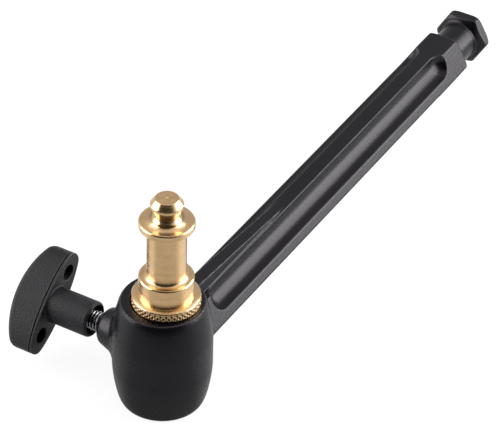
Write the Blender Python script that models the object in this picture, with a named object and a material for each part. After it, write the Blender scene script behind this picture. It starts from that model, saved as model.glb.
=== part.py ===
"""Pivot clamp for camera and lighting rigs: a cast hexagonal arm whose socket clamps a turned brass spigot.

Frame: metres, +Z up. The origin is the centre of the arm's free hexagonal end face and +X points out of
that face, so the arm runs back along -X to the socket. The socket's bore is vertical, and its clamp screw
and knob point along +Y.
"""
import math

import bmesh
import bpy
from mathutils import Matrix

# Driving sizes, in metres
CLEARANCE = 0.0003

# Arm: a hexagonal bar with flats at top and bottom
ARM_REACH = 0.1914
HEX_ACROSS_FLATS = 0.0166
HEX_EDGE_RADIUS = 0.0006
COLLAR_ACROSS_FLATS = 0.0163
COLLAR_LENGTH = 0.0039
COLLAR_CHAMFER = 0.0011
COLLAR_CHAMFER_RADIUS = 0.0076
NECK_LENGTH = 0.0122
NECK_RADIUS = 0.0063
NECK_COVE = 0.0014
END_CHAMFER = 0.0007

# Flutes: long scoops with ball ends, one on each diagonal of the arm
FLUTE_RADIUS = 0.0050
FLUTE_AXIS_OUT = 0.01068
FLUTE_BALL_FROM_SOCKET = 0.0230
FLUTE_BALL_FROM_NECK = 0.0150

# Gussets: thin ribs that climb from the arm's flats to the socket
GUSSET_RUN = 0.0519
GUSSET_RISE = 0.0047
GUSSET_ROOT_WIDTH = 0.0045
GUSSET_TIP_WIDTH = 0.0034
GUSSET_DRAFT = 0.0006
GUSSET_SUNK = 0.0010

# Socket: a barrel with a bore right through it, the same above and below the arm
SOCKET_HEIGHT = 0.0352
BELLY_RADIUS = 0.0146
RIM_RADIUS = 0.01235
RIM_BEVEL = 0.0004
SHOULDER_DROP = 0.0125
SHOULDER_POWER = 1.42
BORE_RADIUS = 0.0094
BORE_CHAMFER = 0.0004

# Boss that holds the clamp screw's thread
BOSS_END = 0.0197
BOSS_END_RADIUS = 0.0053
BOSS_FLARE_ANGLE = math.radians(18.0)
BOSS_CHAMFER = 0.0004

# Spigot: one turned piece, knurled at the flange that sits on the socket's rim
SPIGOT_RADIUS = 0.0080
SPIGOT_WAIST_RADIUS = 0.0057
SPIGOT_WAIST_PAST_PAD = 0.0031
SPIGOT_WAIST_COVE = 0.0006
SPIGOT_FLANGE_THICKNESS = 0.0020
SPIGOT_SEAT_LENGTH = 0.0060
SPIGOT_EDGE = 0.0003
KNURL_RADIUS = 0.0100
KNURL_THICKNESS = 0.0035
KNURL_CHAMFER = 0.0005
KNURL_DEPTH = 0.00025
KNURL_TEETH = 60
KNURL_ROWS = 4

# Studs at the spigot's ends: a flared foot, a waist that swells to the thread, and a long chamfer
STUD_LENGTH = 0.0076
STUD_WAIST_HEIGHT = 0.0015
STUD_SWELL_HEIGHT = 0.0049
STUD_FOOT_FLARE = 0.0005
STUD_CHAMFER_LENGTH = 0.0018
STUD_CHAMFER_DEPTH = 0.00156
TOP_THREAD_RADIUS = 0.00476
TOP_STUD_WAIST_RADIUS = 0.00365
BOTTOM_THREAD_RADIUS = 0.003175
BOTTOM_STUD_WAIST_RADIUS = 0.0023
CENTRE_MARK_RADIUS = 0.0008

# Clamp screw, its pad and its wing knob; distances run along the screw from the socket's axis
SCREW_RADIUS = 0.0030
SCREW_HEAD_ACROSS_FLATS = 0.0100
SCREW_HEAD_THICKNESS = 0.0040
SCREW_TIP_CHAMFER = 0.0006
PAD_THICKNESS = 0.0015
PAD_RADIUS = 0.0028
PAD_STEM_RADIUS = 0.0012
PAD_STEM_LENGTH = 0.0026
KNOB_HUB_START = 0.0230
KNOB_HUB_RADIUS = 0.0055
KNOB_HUB_ROUND = 0.0011
WING_UNDERSIDE = 0.0370
WING_THICKNESS = 0.0109
WING_CROWN_RADIUS = 0.0400
WING_HALF_LENGTH = 0.0161
WING_HALF_WIDTH = 0.0063
WING_PLAN_REACH = 0.0173
WING_END_ROUND = 0.0012
WING_CROWN_ROUND = 0.0014
WING_END_FULLNESS = 0.7
WING_UNDER_BEVEL = 0.0006
WING_ANGLE = math.radians(43.0)
WING_HOLE_RADIUS = 0.0025
WING_HOLE_SPACING = 0.0200
WING_HOLE_DEPTH = 0.0060

# How far guides reach past what they cut or join, and the small broken edge of the screw's head and pad
OVERLAP = 0.0010
SMALL_EDGE = 0.0003

# Facets round the turned forms
SOCKET_STEPS = 64
NECK_STEPS = 48
BOSS_STEPS = 40
FLUTE_STEPS = 30
FLUTE_BALL_POINTS = 7
SHOULDER_POINTS = 7
SPIGOT_STEPS = 54
SCREW_STEPS = 28
KNOB_STEPS = 40
WING_HOLE_STEPS = 24
WING_SIDE_POINTS = 12
WING_END_POINTS = 4
CROWN_ROUND_POINTS = 4

# Places worked out from the sizes above
SOCKET_X = -ARM_REACH
RIM_Z = SOCKET_HEIGHT / 2
BASE_Z = -RIM_Z
SPIGOT_WAIST_LENGTH = RIM_Z - SPIGOT_SEAT_LENGTH + PAD_RADIUS + SPIGOT_WAIST_PAST_PAD
SPIGOT_SLIP = BORE_RADIUS - SPIGOT_RADIUS - CLEARANCE
WAIST_FACE = SPIGOT_WAIST_RADIUS - SPIGOT_SLIP
SCREW_HOLE_RADIUS = SCREW_RADIUS + CLEARANCE
PAD_START = WAIST_FACE + CLEARANCE
SCREW_START = PAD_START + PAD_THICKNESS + CLEARANCE
SCREW_HEAD_START = WING_UNDERSIDE + CLEARANCE
WING_CROWN = WING_UNDERSIDE + WING_THICKNESS


def clear_scene():
    for item in list(bpy.data.objects):
        bpy.data.objects.remove(item, do_unlink=True)


def make_material(name, colour, roughness, metallic):
    material = bpy.data.materials.new(name)
    material.use_nodes = True
    shader = material.node_tree.nodes["Principled BSDF"]
    shader.inputs["Base Color"].default_value = (*colour, 1.0)
    shader.inputs["Roughness"].default_value = roughness
    shader.inputs["Metallic"].default_value = metallic
    return material


def black_casting_paint():
    return make_material("black_casting_paint", (0.018, 0.018, 0.020), 0.38, 0.0)


def turned_brass():
    return make_material("turned_brass", (0.76, 0.56, 0.26), 0.22, 1.0)


def zinc_steel():
    return make_material("zinc_steel", (0.66, 0.67, 0.69), 0.28, 1.0)


def black_nylon():
    return make_material("black_nylon", (0.045, 0.045, 0.048), 0.55, 0.0)


def pale_acetal():
    return make_material("pale_acetal", (0.72, 0.70, 0.64), 0.45, 0.0)


def make_object(name, bm, material=None, matrix=None):
    """Turns a bmesh into a scene object, shaded smooth between creases, with its faces pointing out."""
    bmesh.ops.recalc_face_normals(bm, faces=bm.faces)
    mesh = bpy.data.meshes.new(name)
    bm.to_mesh(mesh)
    bm.free()
    mesh.shade_smooth()
    mesh.set_sharp_from_angle(angle=math.radians(30.0))
    if material:
        mesh.materials.append(material)
    item = bpy.data.objects.new(name, mesh)
    bpy.context.collection.objects.link(item)
    if matrix:
        item.matrix_world = matrix
    return item


def shape_with(target, tool, operation):
    """Joins, cuts or intersects the target with a tool object, which is then only a guide."""
    modifier = target.modifiers.new(tool.name, "BOOLEAN")
    modifier.object = tool
    modifier.operation = operation
    modifier.solver = "EXACT"
    tool.hide_render = True
    tool.display_type = "WIRE"


def arc(centre, radius, start, end, count):
    """Points of an arc about centre, from one angle to another in degrees, both ends included."""
    angles = [math.radians(start + (end - start) * i / count) for i in range(count + 1)]
    return [(centre[0] + radius * math.cos(a), centre[1] + radius * math.sin(a)) for a in angles]


def add_copy(bm, part):
    """Adds a part's faces to a bmesh, and frees the part."""
    mesh = bpy.data.meshes.new("copy")
    part.to_mesh(mesh)
    part.free()
    bm.from_mesh(mesh)
    bpy.data.meshes.remove(mesh)


def turn(profile, steps):
    """A bmesh turned about local Z from (radius, height) points; ends on the axis come out closed."""
    bm = bmesh.new()
    points = [bm.verts.new((radius, 0.0, height)) for radius, height in profile]
    lines = [bm.edges.new(pair) for pair in zip(points, points[1:])]
    bmesh.ops.spin(bm, geom=points + lines, axis=(0, 0, 1), cent=(0, 0, 0), angle=math.tau,
                   steps=steps, use_merge=True)
    bmesh.ops.remove_doubles(bm, verts=bm.verts, dist=1e-6)
    return bm


def along_x(place=0.0):
    """Places local Z along +X, from the given X."""
    return Matrix.Translation((place, 0, 0)) @ Matrix.Rotation(math.pi / 2, 4, "Y")


def along_screw(angle=0.0):
    """Places local Z along +Y from the socket's axis, turned about it by angle from +X towards +Z."""
    return Matrix.Translation((SOCKET_X, 0, 0)) @ Matrix.Rotation(-math.pi / 2, 4, "X") @ Matrix.Rotation(
        -angle, 4, "Z")


def hexagon_outline(across_flats, corner_radius, corner_points):
    """A hexagon's outline with rounded corners, two of its flats level with the first axis."""
    inset = (across_flats / 2 - corner_radius) / math.cos(math.radians(30))
    outline = []
    for corner in range(6):
        middle = 60 * corner
        centre = (inset * math.cos(math.radians(middle)), inset * math.sin(math.radians(middle)))
        outline += arc(centre, corner_radius, middle - 30, middle + 30, corner_points)
    return outline


def prism(outline, low, high):
    """A closed prism of an outline in local XY, from one height to another."""
    bm = bmesh.new()
    corners = [bm.verts.new((x, y, low)) for x, y in outline]
    face = bm.faces.new(corners)
    grown = bmesh.ops.extrude_face_region(bm, geom=[face])
    moved = [item for item in grown["geom"] if isinstance(item, bmesh.types.BMVert)]
    bmesh.ops.translate(bm, verts=moved, vec=(0, 0, high - low))
    return bm


def socket_profile():
    """Outer line of the socket as (radius, height): rim, shoulder and upright belly, then the same below."""
    run = BELLY_RADIUS - RIM_RADIUS
    drop = SHOULDER_DROP - RIM_BEVEL
    upper = [(0, RIM_Z), (RIM_RADIUS - RIM_BEVEL, RIM_Z)]
    # The shoulder is a quarter of a slightly pointed ellipse, from the rim's bevel to the belly
    for i in range(SHOULDER_POINTS + 1):
        angle = math.radians(90 * i / SHOULDER_POINTS)
        radius = RIM_RADIUS + run * math.sin(angle) ** SHOULDER_POWER
        height = RIM_Z - RIM_BEVEL - drop * (1 - abs(math.cos(angle)) ** SHOULDER_POWER)
        upper.append((radius, height))
    return upper + [(radius, -height) for radius, height in reversed(upper)]


def boss_profile():
    """The boss from its root inside the socket to its end, flaring towards the socket."""
    root = BORE_RADIUS + CLEARANCE
    flare = BOSS_END_RADIUS + (BOSS_END - root) * math.tan(BOSS_FLARE_ANGLE)
    return [(0, root), (flare, root), (BOSS_END_RADIUS, BOSS_END - BOSS_CHAMFER),
            (BOSS_END_RADIUS - BOSS_CHAMFER, BOSS_END), (0, BOSS_END)]


def hex_bar(name, across_flats, low, high):
    """A hexagonal bar along X with flats at top and bottom, from one X to another."""
    # The outline's first axis lies along a flat, and along_x brings local Y to Y, so the two are swapped
    outline = [(y, x) for x, y in hexagon_outline(across_flats, HEX_EDGE_RADIUS, 3)]
    return make_object(name, prism(outline, 0, high - low), matrix=along_x(low))


def turn_down(bar, profile):
    """Trims a bar to the (radius, X) line that a lathe would leave."""
    envelope = make_object(bar.name + "_lathe_guide", turn(profile, NECK_STEPS), matrix=along_x())
    shape_with(bar, envelope, "INTERSECT")


def make_arm_bar():
    """The hexagonal bar with a chamfered end, a turned neck and a hexagonal collar."""
    body_end = -(COLLAR_LENGTH + NECK_LENGTH)
    corner = HEX_ACROSS_FLATS / math.sqrt(3)
    free = corner + OVERLAP
    bar = hex_bar("bar_guide", HEX_ACROSS_FLATS, SOCKET_X, body_end)
    root = SOCKET_X - OVERLAP
    turn_down(bar, [(0, root), (free, root), (free, body_end - END_CHAMFER - OVERLAP),
                    (corner - END_CHAMFER, body_end), (0, body_end)])
    shape_with(bar, make_flute_cutter(), "DIFFERENCE")

    collar_corner = COLLAR_ACROSS_FLATS / math.sqrt(3)
    collar = hex_bar("collar_guide", COLLAR_ACROSS_FLATS, -COLLAR_LENGTH, 0)
    slope = (collar_corner - COLLAR_CHAMFER_RADIUS) / COLLAR_CHAMFER
    wide = collar_corner + END_CHAMFER
    turn_down(collar, [(0, -COLLAR_LENGTH), (COLLAR_CHAMFER_RADIUS, -COLLAR_LENGTH),
                       (wide, -COLLAR_LENGTH + COLLAR_CHAMFER + END_CHAMFER / slope),
                       (wide, -2 * END_CHAMFER), (collar_corner - END_CHAMFER, 0), (0, 0)])

    cove = arc((NECK_RADIUS + NECK_COVE, -COLLAR_LENGTH - NECK_COVE), NECK_COVE, 180, 90, 5)
    neck = [(0, body_end - OVERLAP), (NECK_RADIUS, body_end - OVERLAP)] + cove
    neck += [(NECK_RADIUS + NECK_COVE, -COLLAR_LENGTH + OVERLAP), (0, -COLLAR_LENGTH + OVERLAP)]
    neck_guide = make_object("neck_guide", turn(neck, NECK_STEPS), matrix=along_x())
    shape_with(neck_guide, collar, "UNION")
    shape_with(bar, neck_guide, "UNION")
    return bar


def make_flute_cutter():
    """Four capsules, one on each diagonal, whose sides scoop the bar's sloping flats."""
    near = SOCKET_X + FLUTE_BALL_FROM_SOCKET
    far = -(COLLAR_LENGTH + NECK_LENGTH + FLUTE_BALL_FROM_NECK)
    capsule = arc((0, near), FLUTE_RADIUS, -90, 0, FLUTE_BALL_POINTS)
    capsule += arc((0, far), FLUTE_RADIUS, 0, 90, FLUTE_BALL_POINTS)
    joined = bmesh.new()
    for diagonal in (45, 135, 225, 315):
        angle = math.radians(diagonal)
        offset = (0, FLUTE_AXIS_OUT * math.cos(angle), FLUTE_AXIS_OUT * math.sin(angle))
        single = turn(capsule, FLUTE_STEPS)
        single.transform(Matrix.Translation(offset) @ along_x())
        add_copy(joined, single)
    return make_object("flute_guide", joined)


def make_gusset(side):
    """A tapered rib on the top flat (side 1) or the bottom flat (side -1)."""
    flat = side * HEX_ACROSS_FLATS / 2
    sunk = flat - side * GUSSET_SUNK
    root_x = SOCKET_X + BORE_RADIUS + OVERLAP
    tip_x = SOCKET_X + RIM_RADIUS + GUSSET_RUN
    slope = GUSSET_RISE / GUSSET_RUN
    corners = []
    for x, width in ((root_x, GUSSET_ROOT_WIDTH), (tip_x, GUSSET_TIP_WIDTH)):
        top = flat + side * slope * (tip_x - x)
        half = width / 2
        corners.append([(x, -half, sunk), (x, half, sunk),
                        (x, half - GUSSET_DRAFT / 2, top), (x, -half + GUSSET_DRAFT / 2, top)])
    bm = bmesh.new()
    ends = [[bm.verts.new(point) for point in ring] for ring in corners]
    for ring in ends:
        bm.faces.new(ring)
    for i in range(4):
        j = (i + 1) % 4
        bm.faces.new((ends[0][i], ends[0][j], ends[1][j], ends[1][i]))
    return make_object(f"gusset_guide_{'top' if side > 0 else 'bottom'}", bm)


def make_arm_casting():
    """The one casting: socket, boss, ribs and fluted arm, then bored and drilled."""
    body = make_object("arm_casting", turn(socket_profile(), SOCKET_STEPS), black_casting_paint(),
                       Matrix.Translation((SOCKET_X, 0, 0)))
    shape_with(body, make_arm_bar(), "UNION")
    for side in (1, -1):
        shape_with(body, make_gusset(side), "UNION")
    boss = make_object("boss_guide", turn(boss_profile(), BOSS_STEPS), matrix=along_screw())
    shape_with(body, boss, "UNION")
    over = OVERLAP
    wide = BORE_RADIUS + BORE_CHAMFER + over
    bore = [(0, RIM_Z + over), (wide, RIM_Z + over), (BORE_RADIUS, RIM_Z - BORE_CHAMFER),
            (BORE_RADIUS, BASE_Z + BORE_CHAMFER), (wide, BASE_Z - over), (0, BASE_Z - over)]
    socket_place = Matrix.Translation((SOCKET_X, 0, 0))
    bore_guide = make_object("bore_guide", turn(bore, SOCKET_STEPS), matrix=socket_place)
    shape_with(body, bore_guide, "DIFFERENCE")
    hole = [(0, 0), (SCREW_HOLE_RADIUS, 0), (SCREW_HOLE_RADIUS, BOSS_END + over), (0, BOSS_END + over)]
    hole_guide = make_object("screw_hole_guide", turn(hole, SCREW_STEPS), matrix=along_screw())
    shape_with(body, hole_guide, "DIFFERENCE")


def stud_profile(base, thread_radius, waist_radius):
    """A stud from its foot at height base to its tip: flared foot, waist, swell, thread and chamfer."""
    points = []
    for i in range(4):
        part = i / 3
        points.append((waist_radius + STUD_FOOT_FLARE * (1 - math.sin(part * math.pi / 2)),
                       base + STUD_WAIST_HEIGHT * part))
    for i in range(1, 6):
        part = i / 5
        points.append((waist_radius + (thread_radius - waist_radius) * (1 - math.cos(part * math.pi)) / 2,
                       base + STUD_WAIST_HEIGHT + (STUD_SWELL_HEIGHT - STUD_WAIST_HEIGHT) * part))
    tip = base + STUD_LENGTH
    mark = CENTRE_MARK_RADIUS
    points += [(thread_radius, tip - STUD_CHAMFER_LENGTH), (thread_radius - STUD_CHAMFER_DEPTH, tip),
               (mark, tip), (0, tip - mark)]
    return points


def spigot_end_profile(flange_face, thread_radius, waist_radius):
    """One end of the spigot outside its knurled flange: seat, waist, thin flange and stud."""
    z = flange_face
    cove = SPIGOT_WAIST_COVE
    edge = SPIGOT_EDGE
    points = [(SPIGOT_RADIUS, z)]
    z += SPIGOT_SEAT_LENGTH
    points += [(SPIGOT_RADIUS, z - edge), (SPIGOT_RADIUS - edge, z)]
    points += arc((SPIGOT_WAIST_RADIUS + cove, z + cove), cove, 270, 180, 2)
    z += SPIGOT_WAIST_LENGTH
    points += arc((SPIGOT_WAIST_RADIUS + cove, z - cove), cove, 180, 90, 2)
    points += [(SPIGOT_RADIUS - edge, z), (SPIGOT_RADIUS, z + edge)]
    z += SPIGOT_FLANGE_THICKNESS
    points += [(SPIGOT_RADIUS, z - edge), (SPIGOT_RADIUS - edge, z)]
    return points + stud_profile(z, thread_radius, waist_radius)


def knurled_rings(bm, low, high):
    """Rings of a diamond knurl: high and low points alternate round each ring and from ring to ring."""
    columns = 2 * KNURL_TEETH
    rings = []
    for row in range(KNURL_ROWS + 1):
        height = low + (high - low) * row / KNURL_ROWS
        ring = []
        for column in range(columns):
            peak = (row + column) % 2 == 0
            radius = KNURL_RADIUS if peak else KNURL_RADIUS - KNURL_DEPTH
            angle = math.tau * column / columns
            ring.append(bm.verts.new((radius * math.cos(angle), radius * math.sin(angle), height)))
        rings.append(ring)
    for row in range(KNURL_ROWS):
        for column in range(columns):
            after = (column + 1) % columns
            a, b = rings[row][column], rings[row][after]
            d, c = rings[row + 1][column], rings[row + 1][after]
            # Each square is split between its two low points, so the grooves run along the diagonals
            if (row + column) % 2 == 0:
                bm.faces.new((a, b, d))
                bm.faces.new((b, c, d))
            else:
                bm.faces.new((a, b, c))
                bm.faces.new((a, c, d))
    return rings


def open_edges_near(bm, height):
    """Boundary edges that lie at one height."""
    return [edge for edge in bm.edges
            if edge.is_boundary and all(abs(vert.co.z - height) < 1e-6 for vert in edge.verts)]


def make_spigot():
    """The brass spigot: both studs are turned, and the flange between them is knurled."""
    upper = spigot_end_profile(KNURL_THICKNESS, TOP_THREAD_RADIUS, TOP_STUD_WAIST_RADIUS)
    lower = spigot_end_profile(0, BOTTOM_THREAD_RADIUS, BOTTOM_STUD_WAIST_RADIUS)
    lower = [(radius, -height) for radius, height in lower]
    rim_radius = KNURL_RADIUS - KNURL_CHAMFER
    bm = bmesh.new()
    for profile, face in ((upper, KNURL_THICKNESS), (lower, 0)):
        add_copy(bm, turn([(rim_radius, face)] + profile, SPIGOT_STEPS))
    low, high = KNURL_CHAMFER, KNURL_THICKNESS - KNURL_CHAMFER
    knurled_rings(bm, low, high)
    for face, band in ((0, low), (KNURL_THICKNESS, high)):
        bmesh.ops.bridge_loops(bm, edges=open_edges_near(bm, face) + open_edges_near(bm, band))
    make_object("spigot", bm, turned_brass(),
                Matrix.Translation((SOCKET_X, -SPIGOT_SLIP, RIM_Z + CLEARANCE)))


def make_clamp_screw():
    """The clamp screw: a plain stud drilled for the pad's stem, with its hexagon head inside the knob."""
    tip = SCREW_START
    hole = PAD_STEM_RADIUS + CLEARANCE
    hole_end = tip + PAD_STEM_LENGTH
    shank_end = SCREW_HEAD_START + SCREW_HEAD_THICKNESS / 2
    profile = [(0, hole_end), (hole, hole_end), (hole, tip), (SCREW_RADIUS - SCREW_TIP_CHAMFER, tip),
               (SCREW_RADIUS, tip + SCREW_TIP_CHAMFER), (SCREW_RADIUS, shank_end), (0, shank_end)]
    screw = make_object("clamp_screw", turn(profile, SCREW_STEPS), zinc_steel(), along_screw(WING_ANGLE))
    head = prism(hexagon_outline(SCREW_HEAD_ACROSS_FLATS, SMALL_EDGE, 1), SCREW_HEAD_START,
                 SCREW_HEAD_START + SCREW_HEAD_THICKNESS)
    shape_with(screw, make_object("screw_head_guide", head, matrix=along_screw(WING_ANGLE)), "UNION")


def make_pressure_pad():
    """The swivelling pad at the screw's tip, which bears on the spigot's waist."""
    face = PAD_START
    back = face + PAD_THICKNESS
    stem_end = back + PAD_STEM_LENGTH
    profile = [(0, face), (PAD_RADIUS - SMALL_EDGE, face), (PAD_RADIUS, face + SMALL_EDGE),
               (PAD_RADIUS, back), (PAD_STEM_RADIUS, back), (PAD_STEM_RADIUS, stem_end), (0, stem_end)]
    make_object("pressure_pad", turn(profile, SCREW_STEPS), pale_acetal(), along_screw())


def wing_half_width(reach):
    """Half the wing's thickness at a distance along it: an ellipse with its ends cut off."""
    return WING_HALF_WIDTH * math.sqrt(max(0.0, 1 - (reach / WING_PLAN_REACH) ** 2))


def wing_outline():
    """The wing's outline seen along the screw: two elliptical sides and blunt, rounded ends."""
    side_reach = WING_HALF_LENGTH - WING_END_ROUND
    end_width = wing_half_width(side_reach)
    quarter_line = []
    for step in range(WING_SIDE_POINTS):
        reach = side_reach * math.sin(math.radians(90 * step / WING_SIDE_POINTS))
        quarter_line.append((reach, wing_half_width(reach)))
    for step in range(WING_END_POINTS + 1):
        angle = math.radians(90 * step / WING_END_POINTS)
        half_width = end_width * abs(math.cos(angle)) ** WING_END_FULLNESS
        quarter_line.append((side_reach + WING_END_ROUND * math.sin(angle), half_width))
    quarter_line[-1] = (WING_HALF_LENGTH, 0.0)
    right = quarter_line + [(x, -y) for x, y in reversed(quarter_line[:-1])]
    left = [(-x, -y) for x, y in right[1:-1]]
    return right + left


def crown_height(reach):
    """Height of the wing's crowned outer face at a distance along it."""
    return WING_CROWN - WING_CROWN_RADIUS + math.sqrt(WING_CROWN_RADIUS ** 2 - reach ** 2)


def inset(outline, amount):
    """Moves the points of a clockwise outline inwards along their normals."""
    moved = []
    for i, (x, y) in enumerate(outline):
        before, after = outline[i - 1], outline[(i + 1) % len(outline)]
        dx, dy = after[0] - before[0], after[1] - before[1]
        length = math.hypot(dx, dy)
        moved.append((x + dy / length * amount, y - dx / length * amount))
    return moved


def make_wing(outline):
    """The wing, lofted from its underside through its upright sides to its rounded crown."""
    rings = [[(x, y, WING_UNDERSIDE) for x, y in inset(outline, WING_UNDER_BEVEL)]]
    rings.append([(x, y, WING_UNDERSIDE + WING_UNDER_BEVEL) for x, y in outline])
    for step in range(CROWN_ROUND_POINTS + 1):
        angle = math.radians(90 * step / CROWN_ROUND_POINTS)
        line = inset(outline, WING_CROWN_ROUND * (1 - math.cos(angle)))
        rings.append([(x, y, crown_height(x) - WING_CROWN_ROUND * (1 - math.sin(angle))) for x, y in line])
    bm = bmesh.new()
    loops = [[bm.verts.new(point) for point in ring] for ring in rings]
    count = len(outline)
    for lower, upper in zip(loops, loops[1:]):
        for i in range(count):
            j = (i + 1) % count
            bm.faces.new((lower[i], lower[j], upper[j], upper[i]))
    bm.faces.new(loops[0])
    # The crown is closed by strips across the wing; the point opposite number i is number half - i
    top = loops[-1]
    half = count // 2
    for i in range(-half // 2, half // 2):
        across = [top[i], top[i + 1], top[(half - i - 1) % count], top[(half - i) % count]]
        bm.faces.new(list(dict.fromkeys(across)))
    return bm


def make_clamp_knob():
    """The moulded wing knob: wing, hub, the screw's seat and the two core holes under the wing."""
    place = along_screw(WING_ANGLE)
    knob = make_object("clamp_knob", make_wing(wing_outline()), black_nylon(), place)
    hub_end = WING_UNDERSIDE + OVERLAP
    hub = [(0, KNOB_HUB_START)]
    hub += arc((KNOB_HUB_RADIUS - KNOB_HUB_ROUND, KNOB_HUB_START + KNOB_HUB_ROUND), KNOB_HUB_ROUND, -90, 0, 4)
    hub += [(KNOB_HUB_RADIUS, hub_end), (0, hub_end)]
    shape_with(knob, make_object("hub_guide", turn(hub, KNOB_STEPS), matrix=place), "UNION")
    over = OVERLAP
    shank = [(0, KNOB_HUB_START - over), (SCREW_HOLE_RADIUS, KNOB_HUB_START - over),
             (SCREW_HOLE_RADIUS, WING_UNDERSIDE + over), (0, WING_UNDERSIDE + over)]
    seat = make_object("screw_seat_guide", turn(shank, SCREW_STEPS), matrix=place)
    pocket = prism(hexagon_outline(SCREW_HEAD_ACROSS_FLATS + 2 * CLEARANCE, SMALL_EDGE, 1), WING_UNDERSIDE,
                   SCREW_HEAD_START + SCREW_HEAD_THICKNESS + CLEARANCE)
    shape_with(seat, make_object("head_seat_guide", pocket, matrix=place), "UNION")
    shape_with(knob, seat, "DIFFERENCE")
    for side in (-1, 1):
        hole = [(0, WING_UNDERSIDE - over), (WING_HOLE_RADIUS, WING_UNDERSIDE - over),
                (WING_HOLE_RADIUS, WING_UNDERSIDE + WING_HOLE_DEPTH), (0, WING_UNDERSIDE + WING_HOLE_DEPTH)]
        bm = turn(hole, WING_HOLE_STEPS)
        bmesh.ops.translate(bm, verts=bm.verts, vec=(side * WING_HOLE_SPACING / 2, 0, 0))
        name = "wing_hole_guide_" + ("a" if side < 0 else "b")
        shape_with(knob, make_object(name, bm, matrix=place), "DIFFERENCE")


def build():
    clear_scene()
    make_arm_casting()
    make_spigot()
    make_clamp_screw()
    make_pressure_pad()
    make_clamp_knob()


build()
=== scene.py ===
"""Looks of a pivot clamp: a black cast arm whose socket holds a brass spigot, clamped by a wing screw.

Frame: metres, +Z up. The origin is the centre of the arm's free hexagonal end face and +X points out of
that face. The socket's bore is vertical, and its clamp screw and knob lie along +Y.
"""
import math

import bpy
import numpy as np
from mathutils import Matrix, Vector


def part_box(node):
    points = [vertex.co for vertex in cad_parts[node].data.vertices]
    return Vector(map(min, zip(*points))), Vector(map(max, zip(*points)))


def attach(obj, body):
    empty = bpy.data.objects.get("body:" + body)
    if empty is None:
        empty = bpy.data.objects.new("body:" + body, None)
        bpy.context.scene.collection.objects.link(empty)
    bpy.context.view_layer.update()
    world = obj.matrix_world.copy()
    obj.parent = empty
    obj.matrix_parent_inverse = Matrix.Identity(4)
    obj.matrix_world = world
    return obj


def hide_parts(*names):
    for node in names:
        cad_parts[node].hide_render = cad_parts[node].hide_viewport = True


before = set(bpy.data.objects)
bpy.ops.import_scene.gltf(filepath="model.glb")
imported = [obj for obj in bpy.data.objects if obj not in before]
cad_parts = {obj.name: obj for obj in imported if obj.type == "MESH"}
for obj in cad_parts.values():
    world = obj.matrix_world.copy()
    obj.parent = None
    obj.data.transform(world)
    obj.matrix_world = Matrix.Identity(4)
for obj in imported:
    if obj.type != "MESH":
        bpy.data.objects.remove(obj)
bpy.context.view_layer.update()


# The arm casting: socket, clamp boss, ribs and fluted hexagonal arm in one piece of cast aluminium.
# It is bored and drilled after casting, then powder coated in satin black with a fine grain.
# Round and hexagonal forms run into each other through fillets, so it is skinned from a distance field.
casting_low, casting_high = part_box("arm_casting")
belly_radius = -casting_low.y
socket_x = casting_low.x + belly_radius
rim_z = casting_high.z
boss_end = casting_high.y
rim_radius = 0.01235
rim_edge = 0.00035
shoulder_drop = 0.0125
shoulder_power = 1.42
bore_radius = 0.0094
boss_end_radius = 0.0053
boss_end_chamfer = 0.0006
boss_flare = math.radians(18.0)
boss_root_fillet = 0.0016
screw_hole_radius = 0.0033
bar_flats = 0.0166
bar_edge = 0.0006
bar_end_x = -0.0161
bar_end_chamfer = 0.0007
bar_end_edge = 0.0006
arm_root_fillet = 0.0020
flute_radius = 0.0050
flute_axis_out = 0.01068
flute_near_x = socket_x + 0.0230
flute_far_x = bar_end_x - 0.0150
flute_edge = 0.0004
gusset_tip_x = socket_x + rim_radius + 0.0550
gusset_rise = 0.0047
gusset_root_width = 0.0045
gusset_tip_width = 0.0034
gusset_edge = 0.00028
gusset_fillet = 0.0003
gusset_sunk_end = 0.0100
neck_radius = 0.0063
neck_cove = 0.0014
neck_root_fillet = 0.0010
neck_sunk_end = 0.0010
collar_flats = 0.0163
collar_length = 0.0039
collar_back_radius = 0.0076
collar_back_chamfer = 0.0011
collar_corner_edge = 0.0012
collar_face_edge = 0.0005
fine_edge = 0.00025
casting_pitch = 0.00040
casting_pitch_along_bar = 0.0012
fine_past_flute_start = 0.007
fine_before_flute_end = 0.003
wear_step = 0.0003
wear_gain = 5.0
wear_power = 1.5
paint_dark = (0.0016, 0.0013, 0.0023)
paint_light = (0.0045, 0.0037, 0.0058)
paint_rubbed = (0.060, 0.057, 0.063)
paint_roughness = (0.23, 0.33)
paint_rub_shine = 0.06
paint_gloss = 0.34
paint_gloss_tint = (0.97, 0.92, 1.0)


def soft_join(a, b, fillet):
    """Union of two fields: the lesser of the two, less a quarter round where both are within the fillet."""
    corner = np.hypot(np.maximum(fillet - a, 0.0), np.maximum(fillet - b, 0.0))
    return np.maximum(fillet, np.minimum(a, b)) - corner


def soft_both(a, b, edge):
    """Common part of two fields: the greater of the two, with the edge between them rounded."""
    corner = np.hypot(np.maximum(edge + a, 0.0), np.maximum(edge + b, 0.0))
    return np.minimum(-edge, np.maximum(a, b)) + corner


def hexagon(y, z, flats, edge):
    """Distance to a hexagon with flats above and below: folded on its slanting flats, grown by edge."""
    half = flats / 2 - edge
    across, up = np.abs(y), np.abs(z)
    fold = 2.0 * np.minimum(-math.sqrt(0.75) * across + 0.5 * up, 0.0)
    across, up = across + math.sqrt(0.75) * fold, up - 0.5 * fold
    reach = half / math.sqrt(3.0)
    across, up = across - np.clip(across, -reach, reach), up - half
    return np.hypot(across, up) * np.sign(up) - edge


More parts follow.
